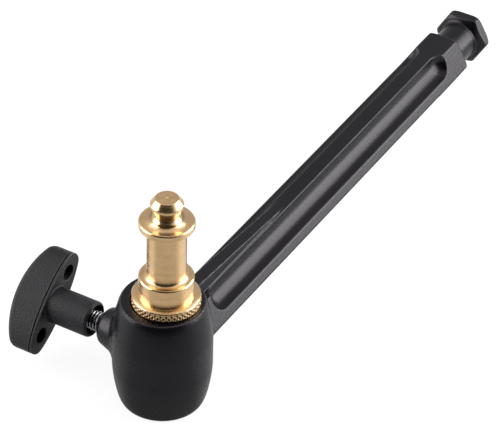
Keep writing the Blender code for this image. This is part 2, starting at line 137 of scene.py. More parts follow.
def socket_field(x, y, z):
    """Barrel: from belly to rim its radius falls along a quarter of a pointed ellipse; two planes cut it."""
    height = np.abs(z)
    run = shoulder_drop - rim_edge
    share = np.clip((height - rim_z + shoulder_drop) / run, 0.0, 1.0) ** (1.0 / shoulder_power)
    swell = (belly_radius - rim_radius) * np.sqrt(1.0 - share ** 2) ** shoulder_power
    barrel = np.hypot(x - socket_x, y) - rim_radius - swell
    return soft_both(barrel, height - rim_z, rim_edge)


def boss_field(x, y, z):
    """Cone round the clamp screw that widens towards the socket, cut off flat and chamfered at its end."""
    radius = np.hypot(x - socket_x, z)
    cone = radius - boss_end_radius - (boss_end - y) * math.tan(boss_flare)
    boss = soft_both(cone * math.cos(boss_flare), y - boss_end, fine_edge)
    chamfer = (radius - boss_end_radius + boss_end_chamfer + y - boss_end) / math.sqrt(2.0)
    return np.maximum(soft_both(boss, chamfer, fine_edge), -y)


def bar_field(x, y, z):
    """Hexagonal bar, chamfered at its end, less four capsules along its diagonals."""
    bar = hexagon(y, z, bar_flats, bar_edge)
    corner = bar_flats / math.sqrt(3.0) - bar_end_chamfer
    end_cone = (np.hypot(y, z) - corner + x - bar_end_x) / math.sqrt(2.0)
    bar = soft_both(soft_both(bar, x - bar_end_x, bar_end_edge), end_cone, bar_end_edge)
    off = flute_axis_out / math.sqrt(2.0)
    beyond = x - np.clip(x, flute_near_x, flute_far_x)
    flute = np.sqrt(beyond ** 2 + (np.abs(y) - off) ** 2 + (np.abs(z) - off) ** 2) - flute_radius
    return np.maximum(soft_both(bar, -flute, flute_edge), socket_x - x)


def gusset_field(x, y, z):
    """Ribs above and below the bar: a wedge that narrows and sinks into the flat towards its tip."""
    share = np.clip((gusset_tip_x - x) / (gusset_tip_x - socket_x - rim_radius), -0.3, 1.3)
    half_width = (gusset_tip_width + (gusset_root_width - gusset_tip_width) * share) / 2
    top = bar_flats / 2 + gusset_rise * share
    wedge = soft_both(np.abs(y) - half_width, np.abs(z) - top, gusset_edge)
    return np.maximum(np.maximum(wedge, x - gusset_tip_x - gusset_sunk_end), socket_x - x)


def end_field(x, y, z):
    """Turned neck and hexagonal collar: cylinder and chamfered hexagon, joined by the neck's cove."""
    radius = np.hypot(y, z)
    neck = np.maximum(np.maximum(radius - neck_radius, x + collar_length / 2), bar_end_x - neck_sunk_end - x)
    collar = hexagon(y, z, collar_flats, collar_corner_edge)
    corner = collar_flats / math.sqrt(3.0)
    front = (radius - corner + bar_end_chamfer + x) / math.sqrt(2.0)
    slope = (corner - collar_back_radius) / collar_back_chamfer
    back = (radius - collar_back_radius - slope * (x + collar_length)) / math.hypot(1.0, slope)
    collar = soft_both(soft_both(collar, front, collar_face_edge), back, collar_face_edge)
    collar = soft_both(soft_both(collar, x, fine_edge), -collar_length - x, fine_edge)
    return soft_join(neck, collar, neck_cove)


def casting_field(x, y, z):
    """The whole casting: bar, ribs and collar joined to the socket and boss, then bored and drilled."""
    arm = soft_join(bar_field(x, y, z), gusset_field(x, y, z), gusset_fillet)
    arm = soft_join(arm, end_field(x, y, z), neck_root_fillet)
    body = soft_join(socket_field(x, y, z), boss_field(x, y, z), boss_root_fillet)
    body = soft_join(body, arm, arm_root_fillet)
    body = soft_both(body, bore_radius - np.hypot(x - socket_x, y), rim_edge)
    hole = np.maximum(np.hypot(x - socket_x, z) - screw_hole_radius, -y)
    return soft_both(body, -hole, fine_edge)


def slope_of(field, points, step=2e-5):
    """Gradient of a field: the difference of its values a step either way along each axis, over two steps."""
    slopes = np.empty_like(points)
    for axis in range(3):
        shift = np.zeros(3)
        shift[axis] = step
        ahead, behind = (points + shift).T, (points - shift).T
        slopes[:, axis] = (field(*ahead) - field(*behind)) / (2.0 * step)
    return slopes


def crossed_cells(value, axes):
    """Cells that a field's zero passes through, and the mean of its crossings on each cell's twelve edges."""
    inside = value < 0.0
    near, far = slice(None, -1), slice(1, None)
    corners = [(i, j, k) for i in (near, far) for j in (near, far) for k in (near, far)]
    count = sum(inside[corner].astype(np.int8) for corner in corners)
    crossed = (count > 0) & (count < 8)
    cells = np.argwhere(crossed)
    total, hits = np.zeros(cells.shape), np.zeros(len(cells))
    for axis in range(3):
        for side in range(4):
            start = cells.copy()
            start[:, (axis + 1) % 3] += side % 2
            start[:, (axis + 2) % 3] += side // 2
            end = start.copy()
            end[:, axis] += 1
            low, high = value[tuple(start.T)], value[tuple(end.T)]
            hit = (low < 0.0) != (high < 0.0)
            share = np.where(hit, low / np.where(hit, low - high, 1.0), 0.0)
            point = np.stack([axes[n][start[:, n]] for n in range(3)], axis=1)
            point[:, axis] += share * (axes[axis][end[:, axis]] - point[:, axis])
            total += point * hit[:, None]
            hits += hit
    return crossed, cells, total / hits[:, None]


def skin(field, axes, steps=4):
    """Closed surface where a field is zero, as points, quads and outward normals.

    Each crossed cell gets one point, drawn on to the zero by Newton steps along the field's gradient. Each
    grid edge that the surface crosses gets one quad, between the points of the four cells round it.
    """
    value = field(axes[0][:, None, None], axes[1][None, :, None], axes[2][None, None, :])
    crossed, cells, points = crossed_cells(value, axes)
    inside = value < 0.0
    reach = np.stack([np.diff(axes[n])[cells[:, n]] for n in range(3)], axis=1)
    first = points.copy()
    for _ in range(steps):
        slopes = slope_of(field, points)
        points = points - slopes * (field(*points.T) / np.maximum((slopes ** 2).sum(1), 1e-3))[:, None]
        points = np.clip(points, first - reach, first + reach)
    numbers = np.full(crossed.shape, -1)
    numbers[crossed] = np.arange(len(cells))
    quads = []
    for axis in range(3):
        second, third = (axis + 1) % 3, (axis + 2) % 3
        lower = np.take(inside, range(inside.shape[axis] - 1), axis)
        upper = np.take(inside, range(1, inside.shape[axis]), axis)
        edges = np.argwhere(lower != upper)
        ring = []
        for back_second, back_third in ((1, 1), (0, 1), (0, 0), (1, 0)):
            cell = edges.copy()
            cell[:, second] -= back_second
            cell[:, third] -= back_third
            ring.append(numbers[tuple(cell.T)])
        ring = np.stack(ring, axis=1)
        leaving = lower[tuple(edges.T)]
        quads.append(np.where(leaving[:, None], ring, ring[:, ::-1]))
    slopes = slope_of(field, points)
    return points, np.concatenate(quads), slopes / np.linalg.norm(slopes, axis=1)[:, None]


def put_piece(name, points, faces, normals=None):
    """Makes a smooth shaded object of points and faces in world places, with normals where given."""
    mesh = bpy.data.meshes.new(name)
    mesh.from_pydata(points.tolist(), [], faces.tolist())
    mesh.validate()
    mesh.shade_smooth()
    if normals is not None:
        mesh.normals_split_custom_set_from_vertices(normals.tolist())
    piece = bpy.data.objects.new(name, mesh)
    bpy.context.scene.collection.objects.link(piece)
    return piece


def edge_attribute(piece, field, points, normals):
    """Stores how sharply the surface bends at each point: the field's mean a step out along tangents."""
    side = np.cross(normals, np.where(np.abs(normals[:, :1]) > 0.7, [[0.0, 1.0, 0.0]], [[1.0, 0.0, 0.0]]))
    side /= np.linalg.norm(side, axis=1)[:, None]
    bend = np.zeros(len(points))
    for tangent in (side, np.cross(normals, side)):
        for way in (-wear_step, wear_step):
            bend += field(*(points + tangent * way).T)
    worn = np.clip(bend / (4.0 * wear_step) * wear_gain, 0.0, 1.0) ** wear_power
    attribute = piece.data.attributes.new("edge_wear", "FLOAT", "POINT")
    attribute.data.foreach_set("value", worn.astype(np.float32))


def node_adder(tree):
    """A function that adds a node to a tree with its settings and inputs, and gives back its outputs."""
    def add(kind, settings=None, **inputs):
        node = tree.nodes.new("ShaderNode" + kind)
        for key, setting in (settings or {}).items():
            setattr(node, key, setting)
        for key, source in inputs.items():
            socket = node.inputs[int(key[1:])] if key[1:].isdigit() else node.inputs[key.replace("_", " ")]
            if isinstance(source, bpy.types.NodeSocket):
                tree.links.new(source, socket)
            else:
                socket.default_value = source
        return node.outputs

    return add


def node_tree(name):
    """A new material with its tree, its Principled shader and the tree's function for adding nodes."""
    material = bpy.data.materials.new(name)
    material.use_nodes = True
    tree = material.node_tree
    return material, tree, tree.nodes["Principled BSDF"], node_adder(tree)


def two_tones(add, pattern, low, low_colour, high, high_colour):
    """Colour of a pattern: one colour up to its level low, another from its level high, and mixes between."""
    tone = add("ValToRGB", Fac=pattern)["Color"]
    ramp = tone.node.color_ramp
    ramp.elements[0].position, ramp.elements[0].color = low, (*low_colour, 1.0)
    ramp.elements[1].position, ramp.elements[1].color = high, (*high_colour, 1.0)
    return tone


def span(add, pattern, pattern_low, pattern_high, low, high):
    """A pattern's range of levels, stretched in a straight line to the range from low to high."""
    return add("MapRange", Value=pattern, From_Min=pattern_low, From_Max=pattern_high,
               To_Min=low, To_Max=high)["Result"]


def noise(add, place, scale, detail, roughness):
    """Levels of fractal noise: features in a metre, octaves, and how much each finer octave adds."""
    return add("TexNoise", Vector=place, Scale=scale, Detail=detail, Roughness=roughness)["Fac"]


def bump(add, height, strength, distance, **under):
    """Normals of a height pattern that stands out by distance, in metres, over the normals under it."""
    return add("Bump", Strength=strength, Distance=distance, Height=height, **under)["Normal"]


def casting_paint():
    """Satin black powder coat: fine grain over slow orange peel, faintly mottled, rubbed lighter at edges."""
    material, tree, shader, add = node_tree("casting_paint")
    place = add("TexCoord")["Object"]
    grain = noise(add, place, 2600.0, 3.0, 0.6)
    peel = noise(add, place, 420.0, 2.0, 0.5)
    mottle = noise(add, place, 95.0, 4.0, 0.6)
    worn = add("Attribute", {"attribute_name": "edge_wear"})["Fac"]
    patchy = span(add, mottle, 0.35, 0.7, 0.35, 1.0)
    rub = add("Math", {"operation": "MULTIPLY"}, _0=worn, _1=patchy)["Value"]
    black = two_tones(add, mottle, 0.30, paint_dark, 0.75, paint_light)
    coat = add("Mix", {"data_type": "RGBA"}, _0=rub, _6=black, _7=(*paint_rubbed, 1.0))[2]
    rough = span(add, grain, 0.3, 0.7, *paint_roughness)
    rough = add("Math", {"operation": "MULTIPLY_ADD"}, _0=rub, _1=-paint_rub_shine, _2=rough)["Value"]
    low = bump(add, peel, 0.16, 0.00010)
    fine = bump(add, grain, 0.45, 0.00005, Normal=low)
    tree.links.new(coat, shader.inputs["Base Color"])
    tree.links.new(rough, shader.inputs["Roughness"])
    tree.links.new(fine, shader.inputs["Normal"])
    shader.inputs["Specular IOR Level"].default_value = paint_gloss
    shader.inputs["Specular Tint"].default_value = (*paint_gloss_tint, 1.0)
    return material


def make_casting():
    """Skins the casting on a grid that is fine at the socket and the collar, and longer along the bar."""
    pitch = casting_pitch
    along = casting_pitch_along_bar
    margin = 3 * pitch
    near = np.arange(casting_low.x - margin, flute_near_x + fine_past_flute_start, pitch)
    middle = np.arange(near[-1] + along, flute_far_x - fine_before_flute_end, along)
    far = np.arange(middle[-1] + pitch, casting_high.x + margin, pitch)
    across = np.arange(casting_low.y - margin, boss_end + margin, pitch)
    rounding = rim_z - np.arange(-1.0, 5.0) * rim_edge / 4
    upright = np.arange(1.5 * rim_edge - rim_z, rim_z - 1.5 * rim_edge, pitch)
    upright = np.concatenate([-rounding, upright, rounding[::-1]])
    points, faces, normals = skin(casting_field, (np.concatenate([near, middle, far]), across, upright))
    piece = put_piece("cast_arm", points, faces, normals)
    edge_attribute(piece, casting_field, points, normals)
    piece.data.materials.append(casting_paint())
    return piece


cast_arm = make_casting()
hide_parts("arm_casting")
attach(cast_arm, "arm")


# The spigot: one piece of brass bar, turned to its steps and coves on a lathe and left bright.
# Its flange is diamond knurled, sits on the socket's rim, and lets fingers turn it round.
# It can be lifted out and put in upside down, for the thinner threaded stud at its other end.
spigot_low, spigot_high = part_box("spigot")
spigot_x = (spigot_low.x + spigot_high.x) / 2
spigot_y = (spigot_low.y + spigot_high.y) / 2
knurl_foot = rim_z + 0.0001
knurl_radius = 0.0100
knurl_height = 0.0031
knurl_chamfer = 0.0004
knurl_depth = 0.00032
knurl_teeth = 40
knurl_samples = 8
knurl_rise = 0.0015
knurl_rim = 0.00015
land_radius = 0.0080
upper_land_length = 0.0066
lower_land_length = 0.0058
waist_radius = 0.0057
waist_length = 0.0175
waist_cove = 0.0013
flange_thickness = 0.0020
stud_length = 0.0076
stud_foot_radius = 0.84
stud_foot_height = 0.00025
stud_bead_radius = 0.90
stud_bead_height = 0.0007
stud_neck_radius = 0.74
stud_neck_start = 0.0016
stud_neck_end = 0.0023
stud_shoulder_radius = 0.90
stud_shoulder_height = 0.0036
stud_full_height = 0.0050
stud_chamfer_length = 0.0018
stud_chamfer_share = 0.30
top_stud_radius = 0.00476
bottom_stud_radius = 0.003175
stud_small_edge = 0.00008
stud_neck_edge = 0.0005
stud_bead_end = 0.0001
centre_mark_radius = 0.0004
turned_edge = 0.00012
turned_chamfer = 0.00035
axis_radius = 0.0001
brass_bright = (0.94, 0.635, 0.325)
brass_stained = (0.85, 0.545, 0.260)
# Painted shade: a near black that the knurl's hollows are darkened towards, the more the deeper they lie
brass_hollow_shade = (0.022, 0.012, 0.005)
brass_roughness = (0.20, 0.29)
brass_tool_lines = 0.16
brass_lacquer = 0.7
lacquer_roughness = 0.22
lathe_stretch = 0.80
lathe_stretch_turn = 0.25


def rounded_line(corners, edge, count=4):
    """A line through corners, each inner one replaced by a quadratic curve tangent to both its sides."""
    corners = np.asarray(corners, float)
    share = np.linspace(0.0, 1.0, count + 1)[:, None]
    pieces = [corners[:1]]
    for before, corner, after in zip(corners, corners[1:], corners[2:]):
        ways = [(side - corner) / np.linalg.norm(side - corner) for side in (before, after)]
        reach = [min(edge, 0.3 * np.linalg.norm(side - corner)) for side in (before, after)]
        start, end = [corner + way * length for way, length in zip(ways, reach)]
        # One more point on each straight side keeps the shading of a flat from bending with the curve
        pieces.append(start[None] + ways[0] * reach[0] * 0.35)
        pieces.append(start * (1 - share) ** 2 + corner * 2 * share * (1 - share) + end * share ** 2)
        pieces.append(end[None] + ways[1] * reach[1] * 0.35)
    return np.concatenate(pieces + [corners[-1:]])


def turned_faces(rows, columns, phase):
    """Triangles of a turned grid: its squares are split along crossed diagonals, as a knurl's crests run."""
    row, column = np.arange(rows - 1)[:, None], np.arange(columns)[None, :]
    after = (column + 1) % columns
    a, b = row * columns + column, row * columns + after
    c, d = b + columns, a + columns
    even = ((row + column + phase) % 2 == 0)[..., None]
    first = np.where(even, np.stack([a, b, c], axis=-1), np.stack([a, b, d], axis=-1))
    second = np.where(even, np.stack([a, c, d], axis=-1), np.stack([b, c, d], axis=-1))
    return np.concatenate([first.reshape(-1, 3), second.reshape(-1, 3)])


def put_turned(name, radii, heights, place, phase=0):
    """Object of a turned grid: radii by row and column, heights by row, closed at both ends by a point.

    place maps (radius, angle, height) arrays to world points; the rows run so that the faces point outwards.
    """
    rows, columns = radii.shape
    angles = np.linspace(0.0, math.tau, columns, endpoint=False)[None, :]
    body = np.stack(place(radii, angles, np.broadcast_to(heights[:, None], radii.shape)), axis=-1)
    body = body.reshape(-1, 3)
    ends = [np.stack(place(np.zeros(1), np.zeros(1), heights[n:n + 1]), axis=-1) for n in (0, rows - 1)]
    points = np.concatenate([body] + ends)
    faces = turned_faces(rows, columns, phase)
    column = np.arange(columns)
    after = (column + 1) % columns
    first, last = rows * columns, rows * columns + 1
    start_cap = np.stack([after, column, np.full(columns, first)], axis=1)
    end_row = (rows - 1) * columns
    end_cap = np.stack([end_row + column, end_row + after, np.full(columns, last)], axis=1)
    mesh = bpy.data.meshes.new(name)
    mesh.from_pydata(points.tolist(), [], faces.tolist() + start_cap.tolist() + end_cap.tolist())
    mesh.validate()
    mesh.shade_smooth()
    piece = bpy.data.objects.new(name, mesh)
    bpy.context.scene.collection.objects.link(piece)
    return piece


def stud_line(foot, full):
    """A stud as (radius, height): undercut, bead, hollow neck, shoulder, chamfer and centre mark."""
    under = stud_foot_radius * full
    bead = stud_bead_radius * full
    lower = rounded_line([(under, foot), (under, foot + stud_foot_height), (bead, foot + stud_foot_height),
                          (bead, foot + stud_bead_height)], stud_small_edge, 2)
    neck = rounded_line([lower[-1], (bead, foot + stud_bead_height + stud_bead_end),
                         (stud_neck_radius * full, foot + stud_neck_start),
                         (stud_neck_radius * full, foot + stud_neck_end),
                         (stud_shoulder_radius * full, foot + stud_shoulder_height),
                         (full, foot + stud_full_height)], stud_neck_edge, 6)
    tip = foot + stud_length
    end = rounded_line([neck[-2], neck[-1], (full, tip - stud_chamfer_length),
                        (full * (1.0 - stud_chamfer_share), tip), (centre_mark_radius, tip),
                        (axis_radius, tip - centre_mark_radius / 2)], turned_edge, 3)
    return np.concatenate([lower, neck[1:-1], end[1:]])


def spigot_end_line(face, land_length, full):
    """One end of the spigot as (radius, height), from the knurled flange's edge out to the stud's tip."""
    land_end = face + land_length
    waist_end = land_end + waist_length
    flange_end = waist_end + flange_thickness
    cove = waist_cove
    steps = rounded_line([(knurl_radius - knurl_chamfer, face), (land_radius, face),
                          (land_radius, land_end - turned_chamfer), (land_radius - turned_chamfer, land_end),
                          (waist_radius + cove, land_end)], turned_edge, 3)
    turn = np.linspace(0.0, math.pi / 2, 8)
    inner = np.stack([waist_radius + cove * (1 - np.sin(turn)), land_end + cove * (1 - np.cos(turn))], axis=1)
    outer = np.stack([inner[::-1, 0], land_end + waist_end - inner[::-1, 1]], axis=1)
    flange = rounded_line([(waist_radius + cove, waist_end), (land_radius, waist_end),
                           (land_radius, flange_end - turned_chamfer),
                           (land_radius - turned_chamfer, flange_end),
                           (stud_foot_radius * full, flange_end)], turned_edge, 3)
    return np.concatenate([steps, inner[1:], outer, flange[1:], stud_line(flange_end, full)[1:]])


def diamond_knurl(angle, height, length):
    """Depth of the knurl's hollows, 0 to 1: the lesser of two crossed triangle waves, faded at both rims."""
    turn = angle * knurl_teeth / math.tau
    climb = height / knurl_rise
    waves = [1.0 - np.abs((turn + way * climb) % 1.0 * 2.0 - 1.0) for way in (-1, 1)]
    rim = np.clip(np.minimum(height, length - height) / knurl_rim, 0.0, 1.0)
    return rim * np.clip(np.minimum(*waves) * 1.4 - 0.2, 0.0, 1.0)


def thread_depth(angle, height, pitch):
    """Depth of a thread below its crest, 0 to 1: a triangle wave along the helix, crest and root cut flat."""
    wave = np.abs((height / pitch - angle / math.tau) % 1.0 * 2.0 - 1.0)
    return np.clip((wave - 0.2) / 0.6, 0.0, 1.0)


def hollow_attribute(piece, depth):
    """Stores how deep each point of a turned grid lies in a knurl or thread, where painted shade darkens it.
    """
    attribute = piece.data.attributes.new("hollow", "FLOAT", "POINT")
    attribute.data.foreach_set("value", np.append(depth.ravel(), [0.0, 0.0]).astype(np.float32))


def lathe_finish(name, colour, deep_colour, hollow_shade, centre, axis, rough, line, lacquer):
    """Bright turned metal: noise drawn out round its axis gives tool lines, with stains, and painted shade in
    the hollows.
    """
    material, tree, shader, add = node_tree(name)
    place = add("TexCoord")["Object"]
    offset = add("VectorMath", {"operation": "SUBTRACT"}, _0=place, _1=centre)["Vector"]
    flat = [0.0 if n == axis else 1.0 for n in range(3)]
    spread = add("VectorMath", {"operation": "MULTIPLY"}, _0=offset, _1=flat)["Vector"]
    radius = add("VectorMath", {"operation": "LENGTH"}, _0=spread)["Value"]
    height = add("SeparateXYZ", Vector=offset)[axis]
    rings = add("CombineXYZ", X=radius, Y=height, Z=0.0)["Vector"]
    lines = noise(add, rings, 5200.0, 4.0, 0.7)
    bands = noise(add, rings, 900.0, 2.0, 0.5)
    stain = noise(add, place, 260.0, 5.0, 0.65)
    tone = two_tones(add, stain, 0.32, deep_colour, 0.62, colour)
    hollow = add("Attribute", {"attribute_name": "hollow"})["Fac"]
    # Painted shade: the deeper a point lies in a knurl or thread, the nearer its colour goes to near black,
    # and the rougher it gets
    hollow_shade_mask = span(add, hollow, 0.22, 0.7, 0.0, 0.96)
    shade = add("Mix", {"data_type": "RGBA"}, _0=hollow_shade_mask, _6=tone, _7=(*hollow_shade, 1.0))[2]
    polish = span(add, bands, 0.3, 0.7, *rough)
    polish = add("Math", {"operation": "MULTIPLY_ADD"}, _0=hollow_shade_mask, _1=0.25, _2=polish)["Value"]
    cut = bump(add, lines, line, 0.00001)
    wave = bump(add, bands, line * 0.6, 0.00002, Normal=cut)
    tree.links.new(shade, shader.inputs["Base Color"])
    tree.links.new(polish, shader.inputs["Roughness"])
    tree.links.new(wave, shader.inputs["Normal"])
    around = add("Tangent", {"direction_type": "RADIAL", "axis": "XYZ"[axis]})["Tangent"]
    tree.links.new(around, shader.inputs["Tangent"])
    shader.inputs["Metallic"].default_value = 1.0
    shader.inputs["Anisotropic"].default_value = lathe_stretch
    shader.inputs["Anisotropic Rotation"].default_value = lathe_stretch_turn
    shader.inputs["Coat Weight"].default_value = lacquer
    shader.inputs["Coat Roughness"].default_value = lacquer_roughness
    return material


def upright_at(radius, angle, height):
    """World points of a turned form that stands on the spigot's axis."""
    return spigot_x + radius * np.cos(angle), spigot_y + radius * np.sin(angle), height + 0.0 * radius * angle


def make_spigot():
    """Turns the spigot as one grid from its lower tip to its upper tip, knurled at the flange."""
    columns = knurl_samples * knurl_teeth
    upper = spigot_end_line(knurl_foot + knurl_height, upper_land_length, top_stud_radius)
    lower = spigot_end_line(0.0, lower_land_length, bottom_stud_radius)
    lower = np.stack([lower[::-1, 0], knurl_foot - lower[::-1, 1]], axis=1)
    band = np.arange(knurl_foot + knurl_chamfer, knurl_foot + knurl_height - knurl_chamfer,
                     knurl_rise / knurl_samples)
    grip = np.stack([np.full(len(band), knurl_radius), band], axis=1)
    line = np.concatenate([lower, grip, upper])
    heights = line[:, 1]
    angles = np.linspace(0.0, math.tau, columns, endpoint=False)[None, :]
    radii = np.repeat(line[:, :1], columns, axis=1)
    knurled = np.abs(line[:, :1] - knurl_radius) < 1e-9
    hollow = knurled * diamond_knurl(angles, heights[:, None] - band[0], band[-1] - band[0])
    piece = put_turned("turned_spigot", radii - knurl_depth * hollow, heights, upright_at, len(lower) % 2)
    hollow_attribute(piece, hollow)
    brass = lathe_finish("turned_brass", brass_bright, brass_stained, brass_hollow_shade,
                         (spigot_x, spigot_y, rim_z), 2, brass_roughness, brass_tool_lines, brass_lacquer)
    piece.data.materials.append(brass)
    return piece


spigot = make_spigot()
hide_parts("spigot")
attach(spigot, "spigot")


# The clamp screw: a rolled M6 steel stud with a hexagon head, bright zinc plated.
# It runs through the boss's thread, and its head is held in the pocket of the moulded knob.
screw_low, screw_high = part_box("clamp_screw")
screw_radius = 0.0030
screw_pitch = 0.0010
screw_thread_depth = 0.00058
screw_head_flats = 0.0100
screw_head_thickness = 0.0040
screw_head_crown = 0.0004
screw_tip_chamfer = 0.0006
screw_tip_hole = 0.0015
screw_tip_hole_depth = 0.0026
screw_columns = 96
screw_rows_per_turn = 10
zinc_bright = (0.56, 0.57, 0.59)
zinc_dull = (0.34, 0.35, 0.37)
# Painted shade: a near black that the thread's roots are darkened towards, the more the deeper they lie
zinc_hollow_shade = (0.012, 0.012, 0.013)
zinc_roughness = (0.14, 0.22)
zinc_tool_lines = 0.03
wing_angle = math.radians(43.0)


def along_screw_at(radius, angle, height):
    """World points of a turned form that lies along the clamp screw, its angle taken from the knob's wing."""
    turned = angle + wing_angle
    return socket_x + radius * np.cos(turned), height + 0.0 * radius * angle, radius * np.sin(turned)


def make_clamp_screw():
    """Turns the screw from its tip's hole to its head: a helical wave, then a hexagon's radius by angle."""
    columns = screw_columns
    tip, head_end = screw_low.y, screw_high.y
    head_start = head_end - screw_head_thickness
    root = screw_radius - screw_thread_depth
    shank = np.arange(tip + screw_tip_chamfer, head_start, screw_pitch / screw_rows_per_turn)
    hole = tip + screw_tip_hole_depth
    start = np.array([(axis_radius, hole), (screw_tip_hole, hole), (screw_tip_hole, tip), (root, tip)])
    corner = screw_head_flats / math.sqrt(3.0)
    crown = screw_head_crown
    end = np.array([(corner, head_start), (corner, head_end - crown), (corner - 2 * crown, head_end),
                    (axis_radius, head_end)])
    line = np.concatenate([start, np.stack([np.full(len(shank), screw_radius), shank], axis=1), end])
    # The rows run from head to tip, because the angle turns from +X to +Z, left-handed about +Y
    line = line[::-1]
    angles = np.linspace(0.0, math.tau, columns, endpoint=False)[None, :]
    radii = np.repeat(line[:, :1], columns, axis=1)
    heights = line[:, 1]
    threaded = (line[:, 0] == screw_radius)[:, None]
    hollow = threaded * thread_depth(-angles, heights[:, None], screw_pitch)
    radii -= screw_thread_depth * hollow
    headed = (line[:, 0] > 1.1 * screw_radius)[:, None]
    flat_radius = screw_head_flats / 2 / np.cos(angles % (math.pi / 3) - math.pi / 6)
    radii = np.where(headed, np.minimum(radii, flat_radius), radii)
    piece = put_turned("clamp_screw_thread", radii, heights, along_screw_at)
    hollow_attribute(piece, hollow)
    zinc = lathe_finish("zinc_plated_steel", zinc_bright, zinc_dull, zinc_hollow_shade,
                        (socket_x, 0.0, 0.0), 1, zinc_roughness, zinc_tool_lines, 0.0)
    piece.data.materials.append(zinc)
    return piece


clamp_screw = make_clamp_screw()
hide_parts("clamp_screw")
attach(clamp_screw, "knob")


# The pressure pad: a small turned button of pale acetal whose stem swivels in the screw's tip.
# It bears on the spigot's waist, so that the screw doesn't mark the brass.
pad_low, pad_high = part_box("pressure_pad")
pad_radius = 0.0028
pad_thickness = 0.0015
pad_stem_radius = 0.0012
pad_columns = 64
pad_edge = 0.0003
acetal_shaded = (0.50, 0.47, 0.39)
acetal_clean = (0.74, 0.71, 0.63)


def acetal_finish():
    """Pale machined plastic: a slow mottle in its colour and sheen, under a very fine grain."""
    material, tree, shader, add = node_tree("pale_acetal")
    place = add("TexCoord")["Object"]
    mottle = noise(add, place, 900.0, 4.0, 0.6)
    grain = noise(add, place, 6000.0, 2.0, 0.5)
    tone = two_tones(add, mottle, 0.3, acetal_shaded, 0.65, acetal_clean)
    tree.links.new(tone, shader.inputs["Base Color"])
    tree.links.new(span(add, mottle, 0.3, 0.7, 0.36, 0.52), shader.inputs["Roughness"])
    tree.links.new(bump(add, grain, 0.2, 0.00001), shader.inputs["Normal"])
    return material


def make_pressure_pad():
    """Turns the pad from the end of its stem to its face."""
    face, stem_end = pad_low.y, pad_high.y
    back = face + pad_thickness
    line = rounded_line([(axis_radius, stem_end), (pad_stem_radius, stem_end), (pad_stem_radius, back),
                         (pad_radius, back), (pad_radius, face), (axis_radius, face)], pad_edge, 5)
    radii = np.repeat(line[:, :1], pad_columns, axis=1)
    piece = put_turned("swivel_pad", radii, line[:, 1], along_screw_at)
    piece.data.materials.append(acetal_finish())
    return piece


pressure_pad = make_pressure_pad()
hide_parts("pressure_pad")
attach(pressure_pad, "pad")


# The wing knob: one moulding of glass-filled black nylon, a crowned wing on a round hub.
# Two round core holes keep the wing's walls even, and a hexagon pocket holds the screw's head.
knob_low, knob_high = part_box("clamp_knob")
hub_start = knob_low.y
wing_crown = knob_high.y
hub_radius = 0.0055
hub_edge = 0.0011
hub_root_fillet = 0.0005
wing_underside = 0.0370
wing_crown_radius = 0.0400
wing_half_length = 0.0161
wing_half_width = 0.0063
wing_plan_reach = 0.0173
wing_end_edge = 0.0016
wing_crown_edge = 0.0014
wing_under_edge = 0.00035
wing_seam_height = 0.00085
wing_seam_width = 0.0004
wing_seam_depth = 0.00045
hub_recess_radius = 0.0046
hub_recess_depth = 0.0040
wing_hole_radius = 0.0025
wing_hole_spacing = 0.0200
wing_hole_depth = 0.0060
head_pocket_gap = 0.0002
head_pocket_start = wing_underside + head_pocket_gap
head_pocket_length = screw_head_thickness + head_pocket_gap
knob_pitch = 0.00025
hub_sunk_end = 0.0010
seam_planes_below = 0.0003
seam_planes_above = 0.0014
seam_planes_per_pitch = 2.5
nylon_dull = (0.0040, 0.0036, 0.0050)
nylon_shiny = (0.0170, 0.0150, 0.0190)
nylon_rubbed = (0.11, 0.11, 0.115)
nylon_roughness = (0.34, 0.60)
nylon_gloss = 0.38


def wing_field(reach, width, height):
    """The wing: an ellipse cut off at both ends, a flat underside, a crown and the base plate's seam."""
    far = np.hypot(reach / wing_plan_reach, width / wing_half_width)
    steep = np.hypot(reach / wing_plan_reach ** 2, width / wing_half_width ** 2)
    outline = far * (far - 1.0) / np.maximum(steep, 1e-3)
    outline = soft_both(outline, np.abs(reach) - wing_half_length, wing_end_edge)
    crown = np.hypot(reach, height - wing_crown + wing_crown_radius) - wing_crown_radius
    wing = soft_both(outline, crown, wing_crown_edge)
    seam = np.abs(height - wing_underside - wing_seam_height) - wing_seam_width / 2
    wing = np.maximum(wing, -np.maximum(seam, -outline - wing_seam_depth))
    return soft_both(wing, wing_underside - height, wing_under_edge)


def knob_field(x, y, z):
    """Wing joined to its hub, less the screw's hole, the head's pocket and the two core holes."""
    out, height = x - socket_x, y
    reach = out * math.cos(wing_angle) + z * math.sin(wing_angle)
    width = out * math.sin(wing_angle) - z * math.cos(wing_angle)
    radius = np.hypot(out, z)
    hub = soft_both(radius - hub_radius, hub_start - height, hub_edge)
    hub = np.maximum(hub, height - wing_underside - hub_sunk_end)
    knob = soft_join(wing_field(reach, width, height), hub, hub_root_fillet)
    cores = np.hypot(np.abs(reach) - wing_hole_spacing / 2, width) - wing_hole_radius
    cores = np.maximum(cores, height - wing_underside - wing_hole_depth)
    knob = soft_both(knob, -cores, fine_edge)
    shank = np.maximum(radius - screw_hole_radius, height - wing_underside - hub_sunk_end)
    recess = np.maximum(radius - hub_recess_radius, height - hub_start - hub_recess_depth)
    shank = np.minimum(shank, recess)
    pocket = hexagon(reach, width, screw_head_flats + 2 * head_pocket_gap, fine_edge)
    pocket_middle = head_pocket_start + head_pocket_length / 2
    pocket = np.maximum(pocket, np.abs(height - pocket_middle) - head_pocket_length / 2)
    return np.maximum(soft_both(knob, -shank, fine_edge), -pocket)


